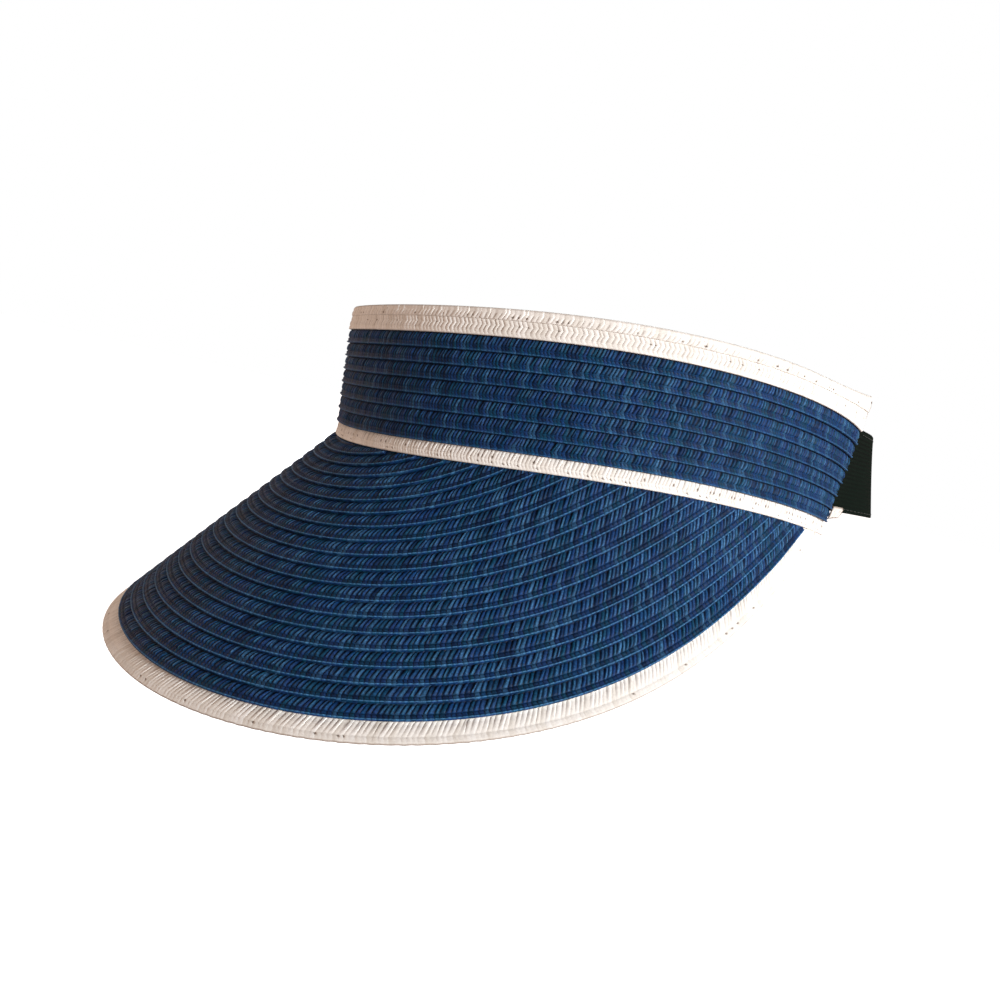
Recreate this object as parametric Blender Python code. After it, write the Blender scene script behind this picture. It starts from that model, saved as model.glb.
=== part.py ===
"""Sun visor sewn from overlapping rows of straw braid, with a hook-and-loop strap closing it at the back.

Frame: metres, +Z up, front of the visor towards -Y, the wearer's left towards +X.  The origin is the
centre of the head opening, level with the lower edge of the band at the front.  Angles round the head
(phi) start at the front and grow towards the wearer's left.
"""
import math

import bmesh
import bpy
import numpy as np

# ---- head opening and band ----
HEAD_LENGTH = 0.197          # front to back, along the lower edge of the band
HEAD_WIDTH = 0.175
BAND_HEIGHT = 0.046
BAND_FLARE = math.radians(4.9)
SIDE_ARCH = 0.011            # how far the band's edges rise at the temples
BAND_END = math.radians(128.5)
BAND_ROWS = 7
BOTTOM_TRIM = 0.0048         # visible widths of the pale braids
TOP_TRIM = 0.0048
TOP_EDGE = 0.0034
END_RISE = 0.0045            # how much higher the pale edging stands at the band's ends
END_RISE_START = math.radians(104.0)
BAND_STATIONS = 48

# ---- brim ----
BRIM_WIDTH = 0.0987          # from the band to the brim edge at the front
BRIM_END = math.radians(124.0)
BRIM_TAPER = 2.524
BRIM_TAPER_SHARPNESS = 1.321
FRONT_DROOP = math.radians(48.7)
SIDE_DROOP = math.radians(81.9)
DROOP_SETTLES = math.radians(108.0)
FRONT_BEND = 0.436           # change of droop along the brim, radians per metre
SIDE_BEND = -9.408
BRIM_ROWS = 19
EDGE_TRIM = 0.0062
LAST_ROW_SPARE = 0.15        # share of a row left over where the innermost row meets the band
SEAM_STEP = 0.0005           # brim rows start this far below the band

# ---- braid ----
BRAID_THICKNESS = 0.0008
TUCK = 0.5                   # hidden share of a row, in row pitches
GAP = 0.0003
SLOPE_MARGIN = 1.05          # makes up for the rows lying at a slant
BRIM_MARGIN = 1.18           # and, on the brim, for the facets of its double curve
ROW_TIP = 0.0006             # width left where a brim row runs out at the band

# ---- sweatband ----
SWEAT_THICKNESS = 0.0010
SWEAT_BOTTOM = -0.0020       # its lower edge covers the seam from inside
SWEAT_TOP_INSET = 0.0015

# ---- braid tails turned behind the band's ends ----
LOWER_TAIL_LENGTH = 0.0050
COVER_TAIL_LENGTH = 0.0110      # the left one is turned over the outside of the strap instead
COVER_TAIL = (0.0060, 0.0110)
COVER_TAIL_TAPER = 0.0010
COVER_STATIONS = 6
UPPER_TAIL_LENGTH = 0.0022
LOWER_TAIL = (0.0004, 0.0064)
TAIL_CLEAR = 0.0006          # between the upper tails and the strap that swings below them
TAIL_DEPTH = 0.0010

# ---- back straps ----
STRAP_BOTTOM = 0.0090        # above the band's lower edge at its ends
STRAP_WIDTH = 0.0300
STRAP_THICKNESS = 0.0012
STRAP_ROOT_DEPTH = 0.0015
STRAP_ROOT_CLEAR = 0.0016
STRAP_BULGE = 0.0140         # how far the straps swing out from the band's line
STRAP_SPLAY = 0.0045         # how much further the lower edge swings out, and the upper edge less
BULGE_SPAN = math.radians(27.0)
STRAP_OVERLAP = math.radians(36.0)
PATCH_THICKNESS = 0.0010
PATCH_INSET = 0.0020
PATCH_END_INSET = math.radians(1.6)
STRAP_STATIONS = 20

NAVY = (0.020, 0.045, 0.110)
CREAM = (0.86, 0.83, 0.76)
LINING = (0.80, 0.78, 0.73)
BLACK = (0.012, 0.016, 0.014)

HALF_LENGTH = HEAD_LENGTH / 2
HALF_WIDTH = HEAD_WIDTH / 2
BAND_PITCH = (BAND_HEIGHT - BOTTOM_TRIM - TOP_TRIM - TOP_EDGE) / BAND_ROWS
BRIM_PITCH = (BRIM_WIDTH - EDGE_TRIM) / (BRIM_ROWS + LAST_ROW_SPARE)
SHINGLE = (BRAID_THICKNESS + GAP) * SLOPE_MARGIN
SWEAT_DEPTH = SHINGLE * (1 + TUCK) + BRAID_THICKNESS + GAP


def seam_point(phi, out=0.0, height=0.0):
    """A point at angle phi, pushed out from the lower edge of the band and raised above it."""
    normal = np.array([math.sin(phi) / HALF_WIDTH, -math.cos(phi) / HALF_LENGTH])
    normal /= np.linalg.norm(normal)
    x = HALF_WIDTH * math.sin(phi) + out * normal[0]
    y = -HALF_LENGTH * math.cos(phi) + out * normal[1]
    return np.array([x, y, SIDE_ARCH * math.sin(phi) ** 2 + height])


def band_point(phi, depth, height):
    """A point on the flared band, at a depth behind its outer face."""
    return seam_point(phi, height * math.tan(BAND_FLARE) - depth, height)


def brim_width(phi):
    share = np.clip(np.abs(phi) / BRIM_END, 0.0, 1.0)
    return BRIM_WIDTH * (1 - share**BRIM_TAPER) ** BRIM_TAPER_SHARPNESS


def brim_points(phi, reach):
    """Points on the top of the brim for arrays of angles and of distances out from the band."""
    settled = np.clip(phi, -DROOP_SETTLES, DROOP_SETTLES)
    droop = FRONT_DROOP + (SIDE_DROOP - FRONT_DROOP) * np.sin(settled) ** 2
    bend = FRONT_BEND + SIDE_BEND * np.sin(phi) ** 2 + 1e-9
    out = (np.sin(droop + bend * reach) - np.sin(droop)) / bend
    drop = (np.cos(droop + bend * reach) - np.cos(droop)) / bend
    across = np.sin(phi) / HALF_WIDTH
    along = -np.cos(phi) / HALF_LENGTH
    length = np.hypot(across, along)
    x = HALF_WIDTH * np.sin(phi) + out * across / length
    y = -HALF_LENGTH * np.cos(phi) + out * along / length
    z = SIDE_ARCH * np.sin(phi) ** 2 + drop
    return np.stack([x, y, z], axis=-1)


EDGE_ANGLES = np.linspace(-BRIM_END, BRIM_END, 1441)
EDGE_LINE = brim_points(EDGE_ANGLES, brim_width(EDGE_ANGLES))


def edge_distance(phi, reach):
    """Shortest distance from points on the brim to its outer edge."""
    points = brim_points(phi, reach)
    return np.array([np.min(np.linalg.norm(EDGE_LINE - point, axis=1)) for point in points])


def reach_at(phi, distance):
    """How far out from the band a line at this distance from the brim edge runs, at angle phi."""
    reaches = np.linspace(SEAM_STEP, max(float(brim_width(phi)), SEAM_STEP + 1e-5), 60)
    distances = edge_distance(np.full(60, phi), reaches)
    return float(np.interp(distance, distances[::-1], reaches[::-1]))


def brim_top(phi, reach, depth):
    """A point at a depth under the top face of the brim, measured square to it."""
    step = 1e-4
    angles = np.array([phi, phi + step, phi])
    reaches = np.array([reach, reach, reach + step])
    here, beside, beyond = brim_points(angles, reaches)
    normal = np.cross(beyond - here, beside - here)
    return here - normal / np.linalg.norm(normal) * depth


SEAM_ANGLES = np.linspace(0.0, BRIM_END - 1e-3, 249)
SEAM_DISTANCES = edge_distance(SEAM_ANGLES, np.full(249, SEAM_STEP))


def seam_angle(distance):
    """Angle at which a line at this distance from the brim edge meets the band."""
    return float(np.interp(distance, SEAM_DISTANCES[::-1], SEAM_ANGLES[::-1]))


def make_material(name, colour, roughness):
    material = bpy.data.materials.new(name)
    material.use_nodes = True
    shader = material.node_tree.nodes["Principled BSDF"]
    shader.inputs["Base Color"].default_value = (*colour, 1.0)
    shader.inputs["Roughness"].default_value = roughness
    shader.inputs["Metallic"].default_value = 0.0
    material.diffuse_color = (*colour, 1.0)
    return material


def add_strip(name, sections, colour, roughness, pivot=None):
    """One closed strip skinned through its cross-sections, with its origin at the pivot."""
    origin = np.zeros(3) if pivot is None else np.asarray(pivot)
    sides = len(sections[0])
    shape = bmesh.new()
    rings = [[shape.verts.new(point - origin) for point in section] for section in sections]
    for near, far in zip(rings, rings[1:]):
        for i in range(sides):
            j = (i + 1) % sides
            shape.faces.new((near[i], near[j], far[j], far[i]))
    shape.faces.new(rings[0])
    shape.faces.new(rings[-1])
    bmesh.ops.recalc_face_normals(shape, faces=shape.faces)
    mesh = bpy.data.meshes.new(name)
    shape.to_mesh(mesh)
    shape.free()
    mesh.materials.append(make_material(name, colour, roughness))
    mesh.shade_smooth()
    mesh.set_sharp_from_angle(angle=math.radians(30))
    node = bpy.data.objects.new(name, mesh)
    node.location = origin
    bpy.context.collection.objects.link(node)
    return node


def end_rise(phi):
    """Extra height of the pale edging near the band's ends."""
    share = (abs(phi) - END_RISE_START) / (BAND_END - END_RISE_START)
    return END_RISE * max(share, 0.0) ** 2


def add_band_row(name, bottom, visible, hidden, colour, roughness, lift=(0.0, 0.0)):
    """A braid round the head: its lower edge is proud, its upper edge is tucked behind the next row."""
    slope = SHINGLE / visible
    sections = []
    for phi in np.linspace(-BAND_END, BAND_END, BAND_STATIONS + 1):
        section = []
        for upper, extra in ((0, 0), (1, 0), (1, 1), (0, 1)):
            rise = upper * (visible + hidden)
            depth = slope * rise + extra * BRAID_THICKNESS
            section.append(band_point(phi, depth, bottom + rise + lift[upper] * end_rise(phi)))
        sections.append(section)
    add_strip(name, sections, colour, roughness)


def add_brim_row(name, outer, visible, hidden, colour, roughness):
    """A braid parallel to the brim edge: its outer edge is proud, and the band cuts it off."""
    inner = outer + visible + hidden
    slope = (BRAID_THICKNESS + GAP) * BRIM_MARGIN / visible
    end = seam_angle(outer + ROW_TIP)
    turn = seam_angle(inner)
    angles = {-end, end}
    if turn > 0.01:
        angles |= {-turn, turn}
    step = 2 * BAND_END / BAND_STATIONS
    for phi in np.linspace(-BAND_END, BAND_END, BAND_STATIONS + 1):
        if abs(phi) < end and min(abs(phi - other) for other in angles) > 0.1 * step:
            angles.add(float(phi))
    sections = []
    for phi in sorted(angles):
        near = reach_at(phi, inner)
        far = reach_at(phi, outer)
        near_distance = float(edge_distance(np.array([phi]), np.array([near]))[0])
        near_depth = slope * (near_distance - outer)
        sections.append([
            brim_top(phi, far, 0.0),
            brim_top(phi, near, near_depth),
            brim_top(phi, near, near_depth + BRAID_THICKNESS),
            brim_top(phi, far, BRAID_THICKNESS),
        ])
    add_strip(name, sections, colour, roughness)


def add_sweatband():
    top = BAND_HEIGHT - SWEAT_TOP_INSET
    inside = SWEAT_DEPTH + SWEAT_THICKNESS
    sections = []
    for phi in np.linspace(-BAND_END, BAND_END, BAND_STATIONS + 1):
        sections.append([
            band_point(phi, SWEAT_DEPTH, SWEAT_BOTTOM),
            band_point(phi, SWEAT_DEPTH, top),
            band_point(phi, inside, top),
            band_point(phi, inside, SWEAT_BOTTOM),
        ])
    add_strip("sweatband", sections, LINING, 0.9)


def add_tail(name, side, length, low, high):
    """The end of a pale braid, turned behind the end of the band."""
    per_metre = 1 / math.hypot(HALF_WIDTH * math.cos(BAND_END), HALF_LENGTH * math.sin(BAND_END))
    start = BAND_END + GAP * per_metre
    finish = start + length * per_metre
    sections = []
    for phi in (start, finish):
        sections.append([
            band_point(side * phi, TAIL_DEPTH, low),
            band_point(side * phi, TAIL_DEPTH, high),
            band_point(side * phi, TAIL_DEPTH + BRAID_THICKNESS, high),
            band_point(side * phi, TAIL_DEPTH + BRAID_THICKNESS, low),
        ])
    add_strip(name, sections, CREAM, 0.75)


BAND_END_LOW = SIDE_ARCH * math.sin(BAND_END) ** 2
STRAP_LOW = BAND_END_LOW + STRAP_BOTTOM
STRAP_PER_METRE = 1 / math.hypot(HALF_WIDTH * math.cos(BAND_END), HALF_LENGTH * math.sin(BAND_END))
STRAP_START = BAND_END + STRAP_ROOT_CLEAR * STRAP_PER_METRE
STRAP_FINISH = math.pi + STRAP_OVERLAP / 2
PATCH_STACK = STRAP_THICKNESS + 2 * PATCH_THICKNESS + 3 * GAP


def strap_line(phi, height, rise):
    """Where the middle of a strap runs: flared like the band where it is sewn, then swung out."""
    share = min(max((phi - STRAP_START) / BULGE_SPAN, 0.0), 1.0)
    eased = share * share * (3 - 2 * share)
    flared = (height - BAND_END_LOW) * math.tan(BAND_FLARE)
    splay = STRAP_SPLAY * (1 - 2 * (height - STRAP_LOW) / STRAP_WIDTH)
    return flared * (1 - eased) + (rise + splay) * eased - STRAP_ROOT_DEPTH


def strap_sections(side, rise, angles, inner, outer, low, high):
    """Cross-sections of a layer that lies between two offsets from the middle of a strap."""
    step = 1e-4
    sections = []
    for phi in angles:
        section = []
        for offset, height in ((inner, low), (outer, low), (outer, high), (inner, high)):
            here = seam_point(side * phi, strap_line(phi, height, rise))
            ahead = seam_point(side * (phi + step), strap_line(phi + step, height, rise))
            tangent = (ahead - here)[:2]
            tangent /= np.linalg.norm(tangent)
            out = np.array([tangent[1], -tangent[0]]) * side
            section.append(np.array([here[0] + out[0] * offset, here[1] + out[1] * offset, height]))
        sections.append(section)
    return sections


def add_cover_tail(name, side, rise):
    """The end of a pale braid, turned over the outside of the strap's sewn end."""
    start = BAND_END + GAP * STRAP_PER_METRE
    finish = BAND_END + COVER_TAIL_LENGTH * STRAP_PER_METRE
    inner = STRAP_THICKNESS / 2 + GAP
    outer = inner + BRAID_THICKNESS
    high = BAND_END_LOW + COVER_TAIL[1]
    sections = []
    for share in np.linspace(0.0, 1.0, COVER_STATIONS):
        phi = start + (finish - start) * share
        low = BAND_END_LOW + COVER_TAIL[0] + COVER_TAIL_TAPER * share
        sections += strap_sections(side, rise, [phi], inner, outer, low, high)
    add_strip(name, sections, CREAM, 0.75)


def add_strap(kind, side, rise, facing):
    """A back strap with its fastening patch, both turning about the strap's sewn end."""
    low = STRAP_LOW
    high = STRAP_LOW + STRAP_WIDTH
    middle = (low + high) / 2
    half = STRAP_THICKNESS / 2
    angles = np.linspace(STRAP_START, STRAP_FINISH, STRAP_STATIONS + 1)
    root = seam_point(side * STRAP_START, strap_line(STRAP_START, middle, rise))
    pivot = (root[0], root[1], middle)
    sections = strap_sections(side, rise, angles, -half, half, low, high)
    add_strip(kind + "_strap", sections, BLACK, 0.85, pivot)
    patch_from = math.pi - STRAP_OVERLAP / 2 + PATCH_END_INSET
    patch_angles = [phi for phi in angles if patch_from < phi < STRAP_FINISH - PATCH_END_INSET]
    near = facing * (half + GAP)
    far = facing * (half + GAP + PATCH_THICKNESS)
    patch = strap_sections(
        side, rise, patch_angles, near, far, low + PATCH_INSET, high - PATCH_INSET
    )
    add_strip(kind + "_patch", patch, BLACK, 0.95, pivot)


def build():
    for node in list(bpy.data.objects):
        bpy.data.objects.remove(node, do_unlink=True)
    add_band_row("bottom_trim_braid", 0.0, BOTTOM_TRIM, TUCK * BAND_PITCH, CREAM, 0.75)
    for i in range(BAND_ROWS):
        bottom = BOTTOM_TRIM + i * BAND_PITCH
        add_band_row(f"band_row_{i + 1:02d}", bottom, BAND_PITCH, TUCK * BAND_PITCH, NAVY, 0.6)
    top = BAND_HEIGHT - TOP_EDGE - TOP_TRIM
    add_band_row("top_trim_braid", top, TOP_TRIM, TUCK * TOP_EDGE, CREAM, 0.75, (0.0, 0.5))
    add_band_row("top_edge_braid", BAND_HEIGHT - TOP_EDGE, TOP_EDGE, 0.0, CREAM, 0.75, (0.5, 1.0))
    add_brim_row("brim_edge_braid", 0.0, EDGE_TRIM, TUCK * BRIM_PITCH, CREAM, 0.75)
    for i in range(BRIM_ROWS):
        outer = EDGE_TRIM + i * BRIM_PITCH
        add_brim_row(f"brim_row_{i + 1:02d}", outer, BRIM_PITCH, TUCK * BRIM_PITCH, NAVY, 0.6)
    add_sweatband()
    for side, label in ((1, "left"), (-1, "right")):
        upper = (STRAP_BOTTOM + STRAP_WIDTH + TAIL_CLEAR, BAND_HEIGHT + END_RISE - SWEAT_TOP_INSET)
        add_tail("upper_tail_" + label, side, UPPER_TAIL_LENGTH, *upper)
    add_cover_tail("lower_tail_left", 1, STRAP_BULGE)
    add_tail("lower_tail_right", -1, LOWER_TAIL_LENGTH, *LOWER_TAIL)
    add_strap("loop", 1, STRAP_BULGE, 1)
    add_strap("hook", -1, STRAP_BULGE + PATCH_STACK, -1)


build()
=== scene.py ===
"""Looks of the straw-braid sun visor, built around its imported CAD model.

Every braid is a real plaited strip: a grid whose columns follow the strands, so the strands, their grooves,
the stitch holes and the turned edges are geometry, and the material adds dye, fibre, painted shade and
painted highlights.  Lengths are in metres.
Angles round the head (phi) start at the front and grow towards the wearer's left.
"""
import math

import bpy
import numpy as np
from mathutils import Matrix, Vector


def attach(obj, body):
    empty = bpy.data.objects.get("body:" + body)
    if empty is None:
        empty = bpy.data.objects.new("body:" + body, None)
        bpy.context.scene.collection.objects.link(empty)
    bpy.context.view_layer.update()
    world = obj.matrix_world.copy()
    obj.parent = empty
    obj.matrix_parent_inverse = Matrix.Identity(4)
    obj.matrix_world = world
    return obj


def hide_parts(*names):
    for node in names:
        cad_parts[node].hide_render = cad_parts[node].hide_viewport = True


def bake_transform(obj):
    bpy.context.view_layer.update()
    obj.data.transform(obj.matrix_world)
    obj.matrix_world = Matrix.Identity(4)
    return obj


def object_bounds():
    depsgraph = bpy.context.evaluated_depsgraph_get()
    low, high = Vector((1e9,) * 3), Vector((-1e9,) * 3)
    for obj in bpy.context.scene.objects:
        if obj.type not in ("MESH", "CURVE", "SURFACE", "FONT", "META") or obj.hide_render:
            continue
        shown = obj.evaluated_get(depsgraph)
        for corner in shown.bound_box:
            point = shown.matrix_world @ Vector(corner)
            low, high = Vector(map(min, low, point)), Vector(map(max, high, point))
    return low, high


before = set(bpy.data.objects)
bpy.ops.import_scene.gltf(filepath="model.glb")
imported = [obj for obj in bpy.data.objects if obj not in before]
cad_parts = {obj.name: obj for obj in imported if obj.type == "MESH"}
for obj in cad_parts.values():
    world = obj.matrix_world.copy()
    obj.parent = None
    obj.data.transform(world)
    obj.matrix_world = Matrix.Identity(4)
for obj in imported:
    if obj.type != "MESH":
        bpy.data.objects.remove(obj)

CAD_BOX = [list(corner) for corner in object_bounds()]

# ---- the CAD model's driving sizes, in metres and radians ----
HALF_LENGTH = 0.197 / 2
HALF_WIDTH = 0.175 / 2
BAND_HEIGHT = 0.046
BAND_FLARE = math.radians(4.9)
SIDE_ARCH = 0.011
BAND_END = math.radians(128.5)
BAND_ROWS = 7
BOTTOM_TRIM = 0.0048
TOP_TRIM = 0.0048
TOP_EDGE = 0.0034
END_RISE = 0.0045
END_RISE_START = math.radians(104.0)
BRIM_WIDTH = 0.0987
BRIM_END = math.radians(124.0)
BRIM_TAPER = 2.524
BRIM_TAPER_SHARPNESS = 1.321
FRONT_DROOP = math.radians(48.7)
SIDE_DROOP = math.radians(81.9)
DROOP_SETTLES = math.radians(108.0)
FRONT_BEND = 0.436
SIDE_BEND = -9.408
BRIM_ROWS = 19
EDGE_TRIM = 0.0062
LAST_ROW_SPARE = 0.15  # part of a pitch left over
SEAM_STEP = 0.0005  # how far out from the band the brim's rows are cut off
BRAID_THICKNESS = 0.0008
TUCK = 0.5  # part of a pitch that a row runs on behind its neighbour
GAP = 0.0003
SLOPE_MARGIN = 1.05
BRIM_MARGIN = 1.18
ROW_TIP = 0.0006  # a brim row stops this far short of its point
SWEAT_THICKNESS = 0.0010
SWEAT_BOTTOM = -0.0020
SWEAT_TOP_INSET = 0.0015
STRAP_BOTTOM = 0.0090
STRAP_WIDTH = 0.0300
STRAP_THICKNESS = 0.0012
STRAP_ROOT_DEPTH = 0.0015
STRAP_ROOT_CLEAR = 0.0016
STRAP_BULGE = 0.0140
STRAP_SPLAY = 0.0045
BULGE_SPAN = math.radians(27.0)
STRAP_OVERLAP = math.radians(36.0)
PATCH_THICKNESS = 0.0010
PATCH_INSET = 0.0020
PATCH_END_INSET = math.radians(1.6)

BAND_PITCH = (BAND_HEIGHT - BOTTOM_TRIM - TOP_TRIM - TOP_EDGE) / BAND_ROWS
BRIM_PITCH = (BRIM_WIDTH - EDGE_TRIM) / (BRIM_ROWS + LAST_ROW_SPARE)
# how far a row leans from its tucked edge to its proud one
BAND_SHINGLE = (BRAID_THICKNESS + GAP) * SLOPE_MARGIN
BRIM_SHINGLE = (BRAID_THICKNESS + GAP) * BRIM_MARGIN
SWEAT_DEPTH = BAND_SHINGLE * (1 + TUCK) + BRAID_THICKNESS + GAP

# the turned ends of the pale braids: their low and high edges are heights above the band's lower edge
TAIL_DEPTH = 0.0010
LOWER_TAIL_LENGTH = 0.0050
UPPER_TAIL_LENGTH = 0.0022
LOWER_TAIL = (0.0004, 0.0064)
COVER_TAIL_LENGTH = 0.0110
COVER_TAIL = (0.0060, 0.0110)
COVER_TAIL_TAPER = 0.0010
TAIL_CLEAR = 0.0006
BAND_END_LOW = SIDE_ARCH * math.sin(BAND_END) ** 2
STRAP_LOW = BAND_END_LOW + STRAP_BOTTOM
PER_METRE_AT_END = 1 / math.hypot(HALF_WIDTH * math.cos(BAND_END), HALF_LENGTH * math.sin(BAND_END))
TAIL_START = BAND_END + GAP * PER_METRE_AT_END
STRAP_START = BAND_END + STRAP_ROOT_CLEAR * PER_METRE_AT_END
STRAP_FINISH = math.pi + STRAP_OVERLAP / 2
PATCH_STACK = STRAP_THICKNESS + 2 * PATCH_THICKNESS + 3 * GAP

# ---- details that only the looks have ----
MM = 0.001
BRIM_TUCK = 1.4 * MM  # the brim's rows run on a little under the band
END_TURN = 1.6 * MM  # how far from the band's end its braids start to turn in
END_TURN_DEPTH = 0.55 * MM
ROW_BACK = 0.74 * MM  # from a row's face to its back, which the row under it stands up to meet
TUCK_INSETS = (0.45 * MM, 0.15 * MM)
LINE_STEPS = 721  # places along a row where its length is measured
STRAP_STEPS = 400
RAY_STEPS = 94  # places from the band out to the brim's edge
HEM = 6.5 * MM
RIPPLE = 0.10 * MM  # how far the sweatband's inner face waves
TAB_LENGTH = 8.0 * MM  # the part of a strap that is sewn in behind the band
TAB_EASE = 2.2 * MM
TAB_SINK = 1.15 * MM
TAB_PRESSED = 0.72  # how much thinner the sewn-in part is
CORNER = 3.0 * MM  # round corners of a strap's free end
RIB_STEP = 0.45 * MM  # from one rib of a strap to the next
RIB_RELIEF = 0.10
STRAP_SURFACE = 0.05 * MM  # the ribs are centred this far inside the strap's face
SELVEDGE = np.array([0.0, 0.4, 1.2, 2.2]) * MM
SELVEDGE_RELIEF = (0.35, 0.9, 1.0, 0.9)
STRAP_WAVE = 0.25 * MM
PILE_STEP = 0.55 * MM
PILE_SWAY = 0.12 * MM
PLATE_STEP = 1.5 * MM
PLATE_THICKNESS = 0.40 * MM
HOOK_PITCH = 1.45 * MM
HOOK_HALF_WIDTH = 0.11 * MM
# a hook from root to tip: reach and height above the plate in millimetres, share of its width, whether bent
HOOK_SPINE = (
    (0.0, -0.05, 1.25, False),
    (0.0, 0.30, 1.0, False),
    (0.16, 0.48, 0.9, True),
    (0.36, 0.42, 0.6, True),
)
# a stitch from end to end: share of its length, and how far its middle stands out, in radii
STITCH_SHAPE = ((0.0, -1.0), (0.18, 0.3), (0.5, 0.7), (0.82, 0.3), (1.0, -1.0))
STITCH_SIDES = 6

# ---- how a braid is plaited, from its proud edge across, in millimetres ----
# distance across, height of the sheet, height of a strand's crest, shift of the strand along the row
NAVY_PLAIT = np.array([
    (0.00, -0.40, 0.02, 0.55),
    (0.12, 0.04, 0.05, 0.50),
    (0.36, 0.27, 0.13, 0.40),
    (0.62, 0.10, 0.08, 0.28),
    (0.84, -0.12, 0.05, 0.18),
    (1.10, -0.06, 0.19, 0.02),
    (1.50, -0.02, 0.23, -0.22),
    (1.82, -0.08, 0.13, -0.36),
    (1.95, -0.18, 0.03, -0.38),
    (2.12, -0.06, 0.30, -0.36),
    (2.60, 0.03, 0.50, -0.24),
    (3.40, 0.06, 0.56, -0.04),
    (4.20, 0.02, 0.52, 0.14),
    (4.80, -0.06, 0.28, 0.26),
])
LOWER_TRIM_PLAIT = np.array([
    (0.00, -0.40, 0.00, 0.70),
    (0.14, 0.00, 0.02, 0.64),
    (0.45, 0.12, 0.04, 0.48),
    (0.80, 0.05, 0.03, 0.30),
    (1.05, 0.00, 0.12, 0.18),
    (1.50, 0.03, 0.17, -0.10),
    (1.85, -0.04, 0.07, -0.30),
    (2.00, -0.10, 0.04, -0.32),
    (2.20, 0.00, 0.14, -0.30),
    (2.80, 0.06, 0.21, -0.16),
    (3.50, 0.06, 0.25, 0.00),
    (4.20, 0.00, 0.27, 0.16),
    (4.80, -0.12, 0.22, 0.28),
])
UPPER_TRIM_PLAIT = np.array([
    (0.00, -0.40, 0.00, 0.75),
    (0.14, 0.00, 0.02, 0.68),
    (0.40, 0.12, 0.03, 0.55),
    (0.70, 0.04, 0.06, 0.38),
    (1.15, 0.07, 0.12, 0.02),
    (1.42, -0.01, 0.05, -0.15),
    (1.60, 0.06, 0.16, -0.14),
    (2.20, 0.15, 0.20, 0.08),
    (2.90, 0.18, 0.19, 0.36),
    (3.20, 0.14, 0.09, 0.44),
    (3.40, 0.20, 0.16, 0.38),
    (3.90, 0.26, 0.17, 0.08),
    (4.40, 0.33, 0.13, -0.22),
    (4.80, 0.36, 0.08, -0.40),
])
RIM_PLAIT = np.array([
    (0.00, -0.62, 0.00, -0.40),
    (0.20, -0.52, 0.08, -0.34),
    (0.45, -0.43, 0.15, -0.20),
    (0.80, -0.34, 0.18, 0.00),
    (1.30, -0.22, 0.18, 0.20),
    (1.85, -0.13, 0.10, 0.36),
    (2.05, -0.14, 0.03, 0.40),
    (2.30, -0.04, 0.04, 0.36),
    (2.70, 0.08, 0.05, 0.25),
    (3.10, 0.03, 0.03, 0.15),
    (3.40, -0.25, 0.00, 0.10),
])
EDGE_PLAIT = np.array([
    (0.00, -0.42, 0.00, 0.95),
    (0.16, -0.02, 0.02, 0.88),
    (0.50, 0.10, 0.03, 0.70),
    (0.95, 0.06, 0.03, 0.46),
    (1.20, 0.05, 0.06, 0.30),
    (1.75, 0.06, 0.08, -0.08),
    (2.05, 0.00, 0.03, -0.26),
    (2.20, -0.01, 0.02, -0.26),
    (2.45, 0.04, 0.06, -0.22),
    (3.20, 0.07, 0.10, -0.08),
    (4.20, 0.05, 0.15, 0.10),
    (5.20, 0.00, 0.22, 0.26),
    (6.20, -0.14, 0.22, 0.40),
])
# the same for a braid's back, from its tucked edge to its proud one, with distances as shares of its width
BACK_PLAIT = np.array([
    (1.00, -0.12, 0.00, 0.30),
    (1.00, -0.62, 0.00, 0.30),
    (0.93, -0.78, 0.12, 0.24),
    (0.80, -0.80, 0.24, 0.05),
    (0.69, -0.78, 0.18, -0.12),
    (0.64, -0.72, 0.03, -0.16),
    (0.59, -0.78, 0.18, -0.12),
    (0.48, -0.80, 0.24, 0.05),
    (0.37, -0.76, 0.08, 0.24),
    (0.10, -0.76, 0.00, 0.30),
    (0.02, -0.68, 0.00, 0.40),
])
PLAIN_BACK = BACK_PLAIT[[0, 1, 9, 10]]
TAIL_PLAIT = RIM_PLAIT[[0, 2, 3, 4, 5, 6, 7, 8, 10]] * [6.0 / 3.4, 1, 0.6, 1.6]
# a strand's own section: share of the way to the next strand, and share of the crest's height
ROUND_STRAND = np.array([(0.0, 0.0), (0.19, 0.66), (0.50, 1.0), (0.82, 0.76)])
FLAT_STRAND = np.array([(0.0, 0.0), (0.10, 0.88), (0.50, 1.0), (0.90, 0.93)])
CREST_COLUMN = 2  # the column of a section that is its crest
BAND_STRAND = 1.14 * MM  # from one strand to the next
BRIM_STRAND = 1.45 * MM
BRIM_LEAN = 0.30  # the brim's strands stand straighter than the band's
BAND_LEAN = 1.10

# ---- how uneven a braid's strands are: random spreads, or shares ----
SPACING_SPREAD = 0.08
STRAND_HEIGHTS = (0.60, 1.25)
DENTED_SHARE = 0.3
DENT = 0.35
LIFT_SPREAD = 0.05 * MM
LEAN_SPREAD = 0.30
SLIP_SPREAD = 0.10 * MM
TONE_SPREAD = 0.30

# ---- a braid's painted shade and painted highlights for its material: 1 is full painted shade between strands, and more is the darker painted shade of a stitch hole ----
FULL_CREST = 0.50 * MM  # a crest this high lifts with its strand
DEEP_CREST = 0.20 * MM  # and one this high has full painted shade in the grooves beside it
# how dark full painted shade in the grooves gets
GROOVE_SHADE = 1.15
FAINT_UNTIL = 0.55  # share of the visible width
# the painted shadow of the covering row starts at this share of the visible width
CAST_FROM = 0.87
# the lower legs' painted shade rises, holds and fades over these distances across
LOWER_LEG = np.array([0.62, 0.84, 1.9, 2.2]) * MM
# the painted highlight along a proud edge rises, peaks and fades over these distances across
EDGE_HIGHLIGHT = np.array([0.12, 0.34, 0.60]) * MM
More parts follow.
